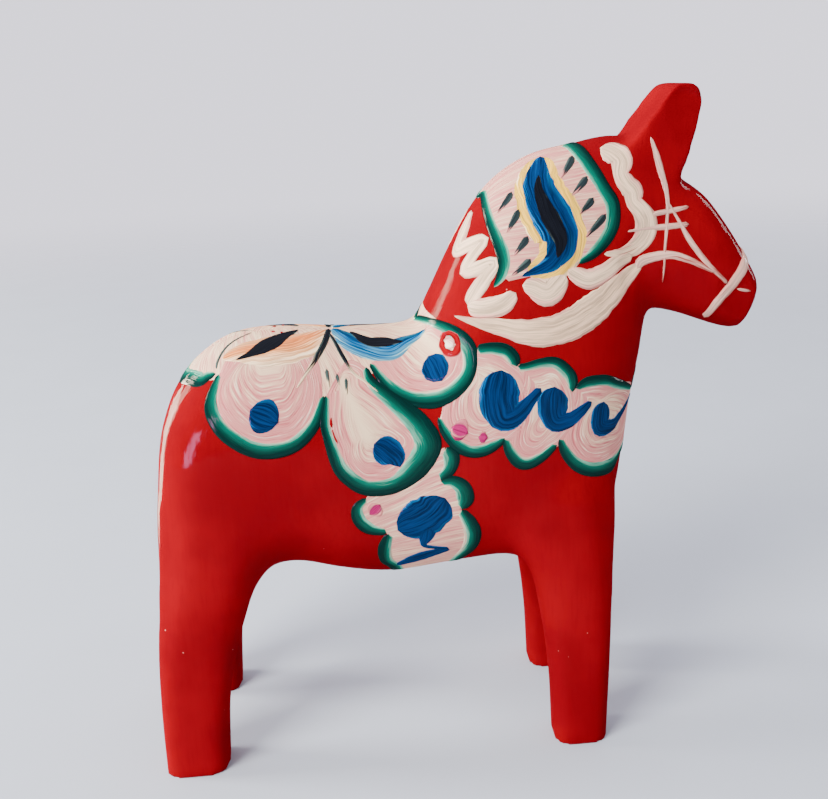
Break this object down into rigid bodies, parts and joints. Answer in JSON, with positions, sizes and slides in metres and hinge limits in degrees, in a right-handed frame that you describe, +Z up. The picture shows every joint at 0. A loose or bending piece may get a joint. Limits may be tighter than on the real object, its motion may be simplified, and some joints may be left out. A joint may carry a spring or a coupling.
{
  "type": "dala horse",
  "caption": "Carved standing horse figurine in red lacquer with folk-painted saddle, girth, mane panel and bridle, for display.",
  "frame": {"origin": "middle of the bounding box at floor level, with the four soles on z = 0", "axes": "+X the way the nose points, +Y the horse's left side, +Z up"},
  "size_m": [0.1247, 0.0414, 0.13],
  "materials": {
    "red_lacquer": "gloss red oil paint over carved pine, varnished",
    "cream_paint": "brushed cream and pink oil paint under varnish",
    "white_paint": "thin brushed off-white oil paint under varnish",
    "green_paint": "green oil paint fading to white on one edge, varnished",
    "blue_paint": "blue oil paint with brush ridges, varnished",
    "black_paint": "thin black oil paint, varnished",
    "yellow_paint": "yellow oil paint, varnished",
    "peach_paint": "peach oil paint fading into cream, varnished",
    "orchid_paint": "pink oil paint dabs, varnished",
    "scarlet_paint": "scarlet oil paint ring, varnished"
  },
  "bodies": {
    "root": {"pine_carving": "red_lacquer", "mane_panel_ground": "cream_paint", "mane_front_border": "green_paint", "mane_rear_border": "green_paint", "mane_yellow_leaf": "yellow_paint", "mane_blue_leaf": "blue_paint", "mane_black_leaf": "black_paint", "mane_dashes": "black_paint", "neck_garland_front": "white_paint", "neck_garland_lower": "white_paint", "neck_garland_rear": "white_paint", "neck_crescent": "white_paint", "bridle_cheek_line": "white_paint", "bridle_brow_lines": "white_paint", "bridle_face_line": "white_paint", "bridle_jaw_line": "white_paint", "noseband": "white_paint", "saddle_ground": "cream_paint", "rump_border": "green_paint", "hind_petal_border": "green_paint", "middle_petal_border": "green_paint", "fore_petal_border": "green_paint", "peach_leaf": "peach_paint", "peach_leaf_heart": "black_paint", "blue_leaf": "blue_paint", "blue_leaf_heart": "black_paint", "saddle_fork_lines": "black_paint", "saddle_dashes": "black_paint", "saddle_blue_dots": "blue_paint", "red_flower": "scarlet_paint", "breast_band_ground": "cream_paint", "breast_band_border": "green_paint", "breast_band_wave": "blue_paint", "breast_band_pink_dots": "orchid_paint", "girth_ground": "cream_paint", "girth_border": "green_paint", "girth_blue_leaves": "blue_paint", "girth_pink_dots": "orchid_paint"}
  },
  "joints": []
}
